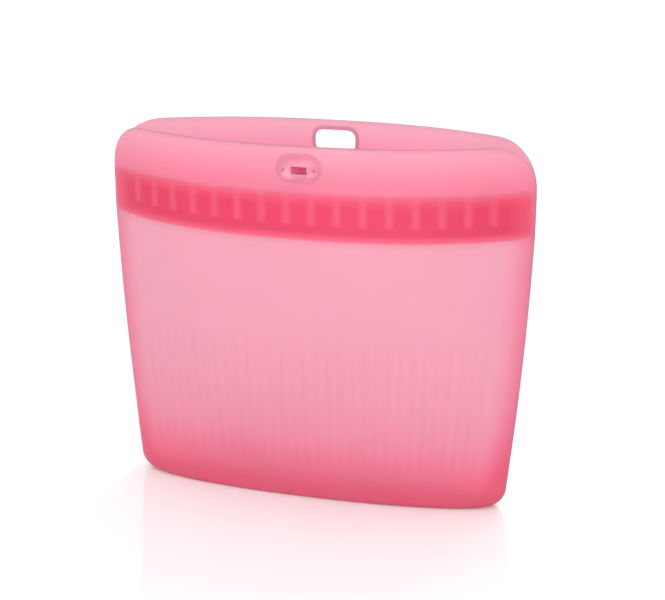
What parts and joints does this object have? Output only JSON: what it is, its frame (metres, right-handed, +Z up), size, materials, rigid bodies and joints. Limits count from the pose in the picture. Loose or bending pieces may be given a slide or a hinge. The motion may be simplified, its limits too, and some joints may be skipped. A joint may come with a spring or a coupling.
{
  "type": "reusable silicone storage bag",
  "caption": "Stand-up translucent silicone food bag with an oval base, tapered walls, a press-together seal band below the lips, a locking stud and a hanging slot; its mouth closes flat.",
  "frame": {"origin": "on the surface that the bag stands on, under the middle of its base", "axes": "+Z up, -Y out of the front, which carries the locking stud, and +X to the right as seen from the front"},
  "size_m": [0.215, 0.0692, 0.187],
  "materials": {
    "wall": "translucent pink silicone, satin",
    "base": "translucent pink silicone, satin, deeper where it is thick",
    "band": "thick pink silicone, satin",
    "lip": "translucent pink silicone, satin",
    "seal": "smooth pink silicone",
    "lock": "smooth pink silicone"
  },
  "bodies": {
    "root": {"base_panel": "base", "base_rim": "base", "front_wall": "wall", "back_wall": "wall", "left_seam": "wall", "right_seam": "wall"},
    "front_mouth_left_outer": {"front_seal_band_left_outer": "band", "front_lip_left_outer": "lip", "front_seal_bead_left_outer": "seal"},
    "front_mouth_left_inner": {"front_seal_band_left_inner": "band", "front_lip_left_inner": "lip", "front_seal_bead_left_inner": "seal"},
    "front_mouth_centre": {"front_seal_band_centre": "band", "front_lip_centre": "lip", "front_seal_bead_centre": "seal", "locking_stud": "lock"},
    "front_mouth_right_inner": {"front_seal_band_right_inner": "band", "front_lip_right_inner": "lip", "front_seal_bead_right_inner": "seal"},
    "front_mouth_right_outer": {"front_seal_band_right_outer": "band", "front_lip_right_outer": "lip", "front_seal_bead_right_outer": "seal"},
    "back_mouth_left_outer": {"back_seal_band_left_outer": "band", "back_lip_left_outer": "lip", "back_seal_track_left_outer": "seal"},
    "back_mouth_left_inner": {"back_seal_band_left_inner": "band", "back_lip_left_inner": "lip", "back_seal_track_left_inner": "seal"},
    "back_mouth_centre": {"back_seal_band_centre": "band", "back_lip_centre": "lip", "back_seal_track_centre": "seal", "hang_slot_rim": "lock"},
    "back_mouth_right_inner": {"back_seal_band_right_inner": "band", "back_lip_right_inner": "lip", "back_seal_track_right_inner": "seal"},
    "back_mouth_right_outer": {"back_seal_band_right_outer": "band", "back_lip_right_outer": "lip", "back_seal_track_right_outer": "seal"}
  },
  "joints": [
    {"name": "front_mouth_left_outer_turn", "type": "hinge", "parent": "root", "child": "front_mouth_left_outer", "pos_m": [-0.10157, -0.01781, 0.1415], "axis": [0, 0, 1], "range_deg": [-7.72, 26.39]},
    {"name": "front_mouth_left_inner_turn", "type": "hinge", "parent": "root", "child": "front_mouth_left_inner", "pos_m": [-0.19245, -0.01945, 0.1415], "axis": [0, 0, 1], "range_deg": [-2.64, 9]},
    {"name": "mouth_close", "type": "slide", "parent": "root", "child": "front_mouth_centre", "axis": [0, 1, 0], "range_m": [-0.008, 0.02735], "stiffness_N_per_m": 40},
    {"name": "front_mouth_right_inner_turn", "type": "hinge", "parent": "root", "child": "front_mouth_right_inner", "pos_m": [0.19245, -0.01945, 0.1415], "axis": [0, 0, 1], "range_deg": [-9, 2.64]},
    {"name": "front_mouth_right_outer_turn", "type": "hinge", "parent": "root", "child": "front_mouth_right_outer", "pos_m": [0.10157, -0.01781, 0.1415], "axis": [0, 0, 1], "range_deg": [-26.39, 7.72]},
    {"name": "back_mouth_left_outer_turn", "type": "hinge", "parent": "root", "child": "back_mouth_left_outer", "pos_m": [-0.10157, 0.01781, 0.1415], "axis": [0, 0, 1], "range_deg": [-26.39, 7.72]},
    {"name": "back_mouth_left_inner_turn", "type": "hinge", "parent": "root", "child": "back_mouth_left_inner", "pos_m": [-0.19245, 0.01945, 0.1415], "axis": [0, 0, 1], "range_deg": [-9, 2.64]},
    {"name": "back_mouth_close", "type": "slide", "parent": "root", "child": "back_mouth_centre", "axis": [0, 1, 0], "range_m": [-0.02735, 0.008]},
    {"name": "back_mouth_right_inner_turn", "type": "hinge", "parent": "root", "child": "back_mouth_right_inner", "pos_m": [0.19245, 0.01945, 0.1415], "axis": [0, 0, 1], "range_deg": [-2.64, 9]},
    {"name": "back_mouth_right_outer_turn", "type": "hinge", "parent": "root", "child": "back_mouth_right_outer", "pos_m": [0.10157, 0.01781, 0.1415], "axis": [0, 0, 1], "range_deg": [-7.72, 26.39]}
  ],
  "couplings": [
    {"joint": "front_mouth_left_outer_turn", "follows": "mouth_close", "rad_per_m": 16.84},
    {"joint": "front_mouth_left_inner_turn", "follows": "mouth_close", "rad_per_m": 5.7408},
    {"joint": "front_mouth_right_inner_turn", "follows": "mouth_close", "rad_per_m": -5.7408},
    {"joint": "front_mouth_right_outer_turn", "follows": "mouth_close", "rad_per_m": -16.84},
    {"joint": "back_mouth_left_outer_turn", "follows": "mouth_close", "rad_per_m": -16.84},
    {"joint": "back_mouth_left_inner_turn", "follows": "mouth_close", "rad_per_m": -5.7408},
    {"joint": "back_mouth_close", "follows": "mouth_close", "ratio": -1},
    {"joint": "back_mouth_right_inner_turn", "follows": "mouth_close", "rad_per_m": 5.7408},
    {"joint": "back_mouth_right_outer_turn", "follows": "mouth_close", "rad_per_m": 16.84}
  ]
}
